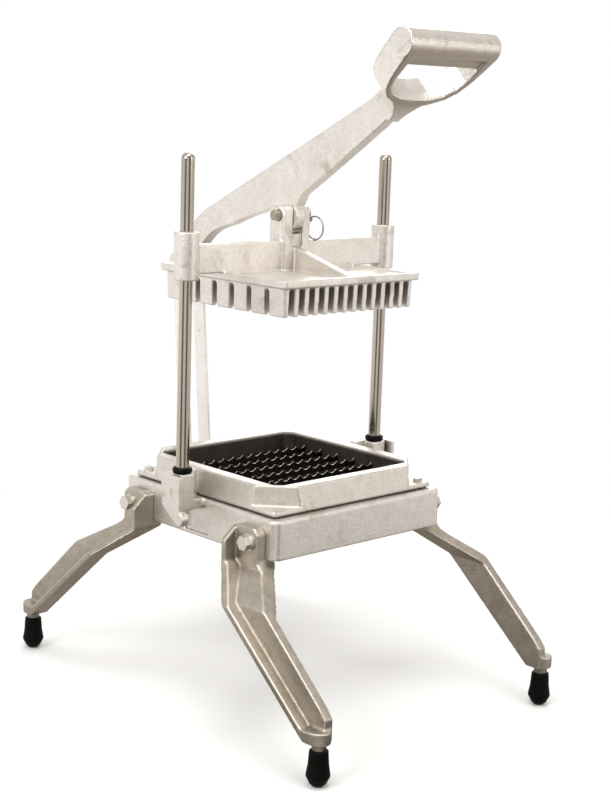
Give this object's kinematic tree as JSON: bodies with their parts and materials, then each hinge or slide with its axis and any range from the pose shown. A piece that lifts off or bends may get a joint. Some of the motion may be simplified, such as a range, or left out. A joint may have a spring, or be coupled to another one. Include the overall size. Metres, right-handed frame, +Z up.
{
  "type": "vegetable dicer",
  "caption": "Manual cast aluminium vegetable dicer: a lever lowers a fingered pusher on two guide rods through a crossed blade grid above an open base on four splayed legs.",
  "frame": {"origin": "on the ground, centred between the four feet", "axes": "+Z up; -Y towards the operator and the handle; +X to the operator's right"},
  "size_m": [0.3284, 0.4706, 0.6533],
  "materials": {
    "cast_aluminium": "tumbled sand casting, satin",
    "leg_aluminium": "as-cast, slightly darker and warmer",
    "link_aluminium": "satin flat bar",
    "rod_steel": "ground and polished",
    "blade_steel": "ground blade steel",
    "fastener_steel": "stainless, machined",
    "ring_wire": "bright wire",
    "bronze": "sintered bronze",
    "rubber": "moulded black rubber"
  },
  "bodies": {
    "base": {"base_frame": "cast_aluminium", "blade_frame": "cast_aluminium", "blade_frame_screws": "fastener_steel", "scalloped_blade_1": "blade_steel", "scalloped_blade_2": "blade_steel", "scalloped_blade_3": "blade_steel", "scalloped_blade_4": "blade_steel", "scalloped_blade_5": "blade_steel", "scalloped_blade_6": "blade_steel", "straight_blade_1": "blade_steel", "straight_blade_2": "blade_steel", "straight_blade_3": "blade_steel", "straight_blade_4": "blade_steel", "straight_blade_5": "blade_steel", "straight_blade_6": "blade_steel", "straight_blade_7": "blade_steel", "straight_blade_8": "blade_steel", "straight_blade_9": "blade_steel", "straight_blade_10": "blade_steel", "straight_blade_11": "blade_steel", "straight_blade_12": "blade_steel", "straight_blade_13": "blade_steel", "guide_rod_left": "rod_steel", "guide_rod_right": "rod_steel", "rod_bumper_left": "rubber", "rod_bumper_right": "rubber", "rod_set_screws": "fastener_steel", "leg_front_left": "leg_aluminium", "leg_front_right": "leg_aluminium", "leg_back_left": "leg_aluminium", "leg_back_right": "leg_aluminium", "rubber_foot_front_left": "rubber", "rubber_foot_front_right": "rubber", "rubber_foot_back_left": "rubber", "rubber_foot_back_right": "rubber", "foot_studs": "fastener_steel", "leg_washers": "fastener_steel", "leg_lock_washers": "fastener_steel", "leg_bolts": "fastener_steel", "leg_nuts": "fastener_steel", "link_lower_bolt": "fastener_steel", "link_lower_washers": "fastener_steel", "link_lower_nut": "fastener_steel"},
    "pusher": {"pusher_head": "cast_aluminium", "sleeve_bushing_left": "bronze", "sleeve_bushing_right": "bronze"},
    "lever": {"lever": "cast_aluminium", "lever_hub_bush": "bronze", "lever_eye_bush": "bronze"},
    "link": {"link_bar_left": "link_aluminium", "link_bar_right": "link_aluminium", "link_upper_bolt": "fastener_steel", "link_upper_nut": "fastener_steel"},
    "release_pin": {"release_pin": "fastener_steel", "detent_ball": "fastener_steel", "detent_spring": "fastener_steel"},
    "pull_ring": {"pull_ring": "ring_wire"}
  },
  "joints": [
    {"name": "pusher_slide", "type": "slide", "parent": "base", "child": "pusher", "axis": [0, 0, -1], "range_m": [0, 0.178]},
    {"name": "lever_hinge", "type": "hinge", "parent": "pusher", "child": "lever", "pos_m": [0, 0, 0.478], "axis": [1, 0, 0], "range_deg": [0, 64.5]},
    {"name": "link_hinge", "type": "hinge", "parent": "base", "child": "link", "pos_m": [0, 0.1395, 0.192], "axis": [1, 0, 0], "range_deg": [0, 9.75]},
    {"name": "release_pin_slide", "type": "slide", "parent": "pusher", "child": "release_pin", "axis": [1, 0, 0], "range_m": [0, 0.042]},
    {"name": "pull_ring_hinge", "type": "hinge", "parent": "release_pin", "child": "pull_ring", "pos_m": [0.0215, -0.00453, 0.47347], "axis": [0, -0.7071, 0.7071], "range_deg": [0, 80]}
  ],
  "couplings": [
    {"joint": "lever_hinge", "follows": "pusher_slide", "rad_per_m": 6.3081},
    {"joint": "link_hinge", "follows": "pusher_slide", "rad_per_m": 0.945}
  ]
}
